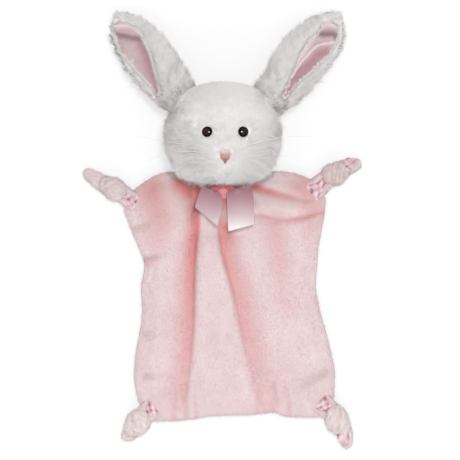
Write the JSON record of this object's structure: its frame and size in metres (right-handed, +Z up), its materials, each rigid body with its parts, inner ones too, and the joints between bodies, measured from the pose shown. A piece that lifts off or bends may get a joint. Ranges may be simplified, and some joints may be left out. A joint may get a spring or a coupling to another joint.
{
  "type": "comfort blanket lovey",
  "caption": "Stuffed rabbit head on a small plush and satin comfort blanket with tied corners and a ribbon bow at the neck.",
  "frame": {"origin": "on the flat back of the blanket, under the chin, on the plane that the toy lies on", "axes": "+X to the right of the face as seen from above, +Y from the blanket to the ears, +Z up out of the face"},
  "size_m": [0.2227, 0.3508, 0.0766],
  "materials": {
    "white_plush": "soft white pile",
    "pink_plush": "short pale pink pile",
    "pink_satin": "satin",
    "ribbon": "satin ribbon",
    "stuffing": "loose fibre",
    "eye": "polished black with a dark brown iris",
    "washer": "moulded",
    "thread": "satin stitch",
    "filament": "clear white nylon"
  },
  "bodies": {
    "blanket": {"blanket_back": "pink_satin", "blanket_front": "pink_plush", "neck_ribbon": "ribbon", "bow_knot": "ribbon"},
    "neck": {"neck_plug": "white_plush"},
    "head": {"eye_left": "eye", "eye_washer_left": "washer", "eye_right": "eye", "eye_washer_right": "washer", "head_forehead": "white_plush", "head_cheek_left": "white_plush", "head_cheek_right": "white_plush", "head_back_left": "white_plush", "head_back_right": "white_plush", "head_stuffing": "stuffing", "nose": "thread", "mouth_stitch": "thread", "whisker_left_1": "filament", "whisker_left_2": "filament", "whisker_left_3": "filament", "whisker_right_1": "filament", "whisker_right_2": "filament", "whisker_right_3": "filament"},
    "ear_left": {"ear_left_plush": "white_plush", "ear_left_lining": "pink_satin"},
    "bow_tail_left": {"bow_tail_left": "ribbon"},
    "ear_right": {"ear_right_plush": "white_plush", "ear_right_lining": "pink_satin"},
    "bow_tail_right": {"bow_tail_right": "ribbon"},
    "corner_top_left": {"corner_top_left_satin": "pink_satin", "corner_top_left_knot": "pink_plush", "corner_top_left_tip": "pink_plush"},
    "corner_top_right": {"corner_top_right_satin": "pink_satin", "corner_top_right_knot": "pink_plush", "corner_top_right_tip": "pink_plush"},
    "corner_bottom_right": {"corner_bottom_right_satin": "pink_satin", "corner_bottom_right_knot": "pink_plush", "corner_bottom_right_tip": "pink_plush"},
    "corner_bottom_left": {"corner_bottom_left_satin": "pink_satin", "corner_bottom_left_knot": "pink_plush", "corner_bottom_left_tip": "pink_plush"}
  },
  "joints": [
    {"name": "head_turn", "type": "hinge", "parent": "blanket", "child": "neck", "pos_m": [0.0008, 0, 0.0196], "axis": [0, 1, 0], "range_deg": [-15, 15]},
    {"name": "head_nod", "type": "hinge", "parent": "neck", "child": "head", "pos_m": [0.0008, -0.0003, 0.0286], "axis": [1, 0, 0], "range_deg": [0, 35]},
    {"name": "ear_left_flop", "type": "hinge", "parent": "head", "child": "ear_left", "pos_m": [-0.03488, 0.06948, 0.0355], "axis": [0.8221, 0.5693, 0], "range_deg": [0, 100]},
    {"name": "ear_right_flop", "type": "hinge", "parent": "head", "child": "ear_right", "pos_m": [0.039, 0.06728, 0.0355], "axis": [0.7934, -0.6088, 0], "range_deg": [0, 100]},
    {"name": "bow_tail_left_lift", "type": "hinge", "parent": "blanket", "child": "bow_tail_left", "pos_m": [-0.00404, -0.01051, 0.03247], "axis": [-0.3436, 0.9391, 0], "range_deg": [0, 25]},
    {"name": "bow_tail_right_lift", "type": "hinge", "parent": "blanket", "child": "bow_tail_right", "pos_m": [0.00564, -0.01051, 0.03247], "axis": [-0.3436, -0.9391, 0], "range_deg": [0, 25]},
    {"name": "corner_top_left_lift", "type": "hinge", "parent": "blanket", "child": "corner_top_left", "pos_m": [-0.07459, -0.01442, 0.006], "axis": [0.4068, 0.9135, 0], "range_deg": [0, 80]},
    {"name": "corner_top_right_lift", "type": "hinge", "parent": "blanket", "child": "corner_top_right", "pos_m": [0.0764, -0.00501, 0.006], "axis": [0.613, -0.7901, 0], "range_deg": [0, 80]},
    {"name": "corner_bottom_right_lift", "type": "hinge", "parent": "blanket", "child": "corner_bottom_right", "pos_m": [0.08299, -0.17867, 0.006], "axis": [-0.5981, -0.8015, 0], "range_deg": [0, 80]},
    {"name": "corner_bottom_left_lift", "type": "hinge", "parent": "blanket", "child": "corner_bottom_left", "pos_m": [-0.0593, -0.18249, 0.006], "axis": [-0.6364, 0.7714, 0], "range_deg": [0, 80]}
  ]
}
